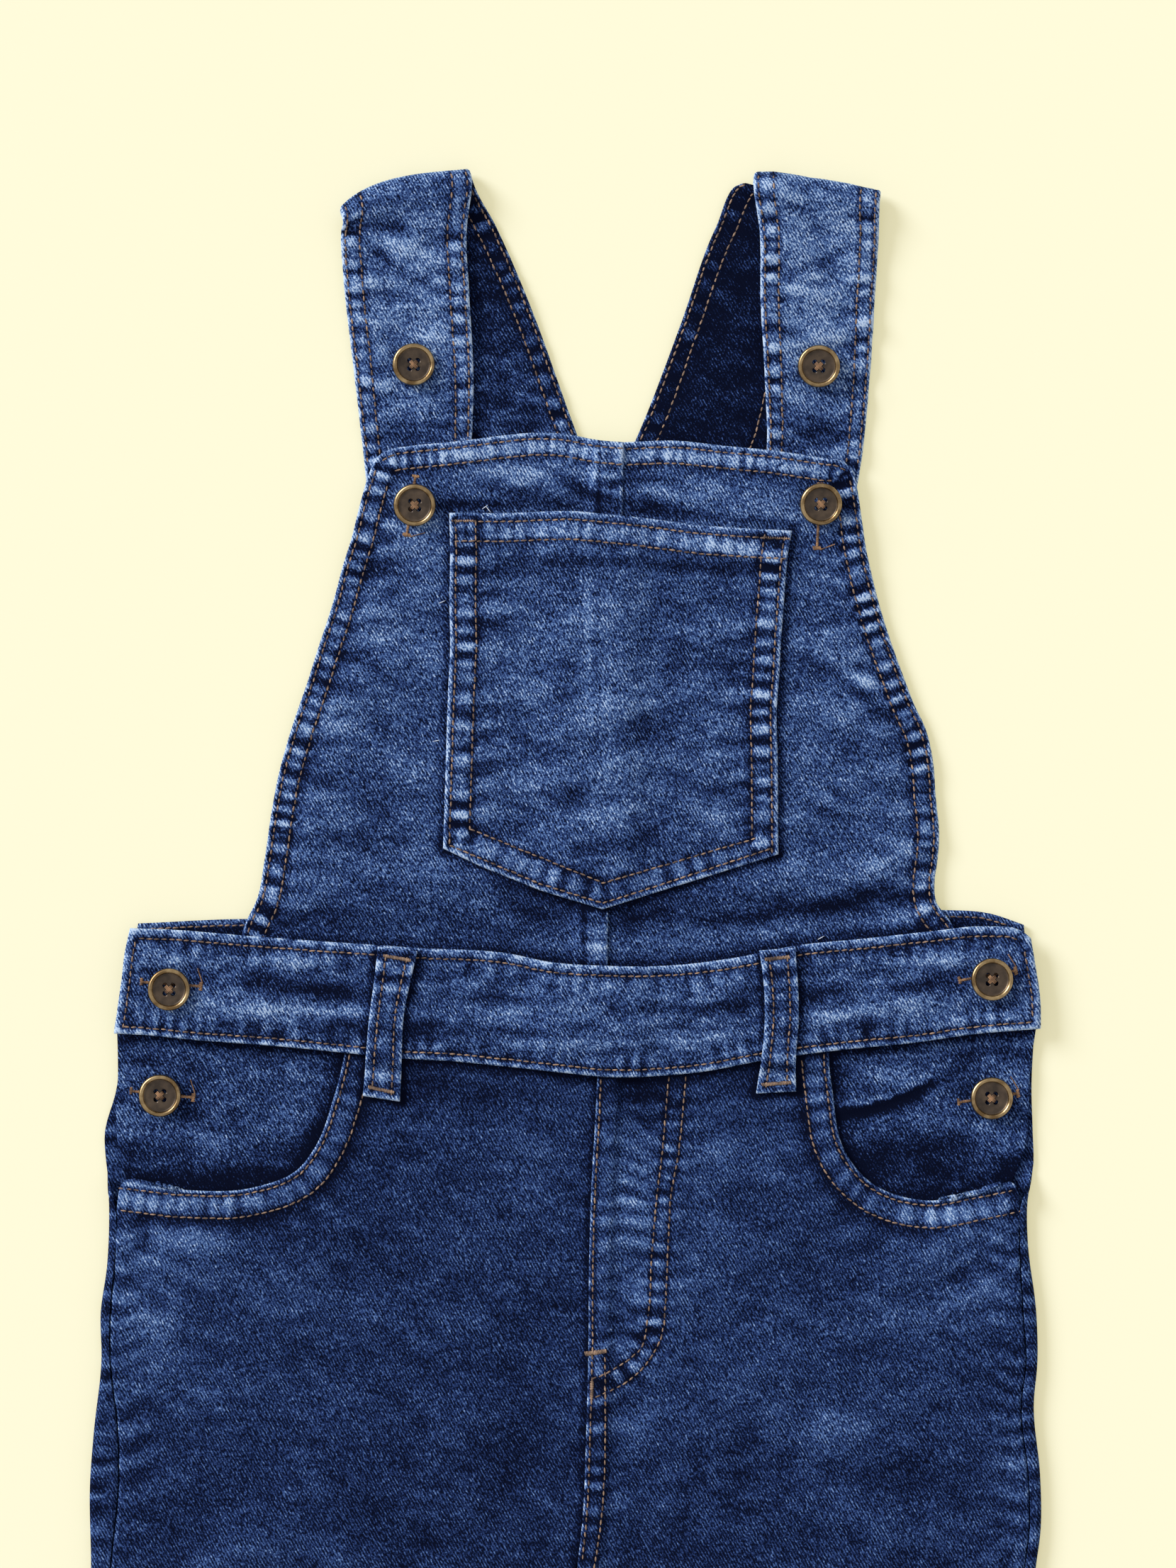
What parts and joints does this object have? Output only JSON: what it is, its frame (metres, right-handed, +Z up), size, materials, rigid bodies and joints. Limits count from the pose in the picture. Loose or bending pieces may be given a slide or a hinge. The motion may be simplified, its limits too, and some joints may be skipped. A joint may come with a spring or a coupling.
{
  "type": "kids dungarees",
  "caption": "Children's denim dungarees with a lapped bib, bib pocket, folded straps, curved hip pockets and metal buttons, laid flat on their back.",
  "frame": {"origin": "on the surface the garment lies on, in the middle of its outline seen from above", "axes": "+X to the viewer's right across the front, +Y from the leg hems towards the shoulders, +Z up out of the front"},
  "size_m": [0.3359, 1.04, 0.0101],
  "materials": {
    "denim": "stone-washed blue denim, steep fine twill, light along worn edges and seams",
    "denim_inside": "denim in the shade of the garment's inside, with lighter straps towards the bib",
    "thread": "tan and brown sewing thread of the rows, bar tacks, buttonholes and buttons",
    "antique_brass": "antique brass rim round a dark brown sunk face"
  },
  "bodies": {
    "root": {"leg_back_left": "denim", "leg_back_right": "denim", "leg_front_left": "denim", "leg_front_right": "denim", "facing_left": "denim", "facing_right": "denim", "waistband_front": "denim", "waistband_back": "denim", "bib_left": "denim", "bib_right": "denim", "bib_pocket": "denim", "bib_back": "denim_inside", "strap_left": "denim_inside", "strap_right": "denim_inside", "belt_loop_left": "denim", "belt_loop_right": "denim", "button_strap_left": "antique_brass", "button_strap_right": "antique_brass", "button_bib_left": "antique_brass", "button_bib_right": "antique_brass", "button_waist_left": "antique_brass", "button_waist_right": "antique_brass", "button_hip_left": "antique_brass", "button_hip_right": "antique_brass"}
  },
  "joints": []
}
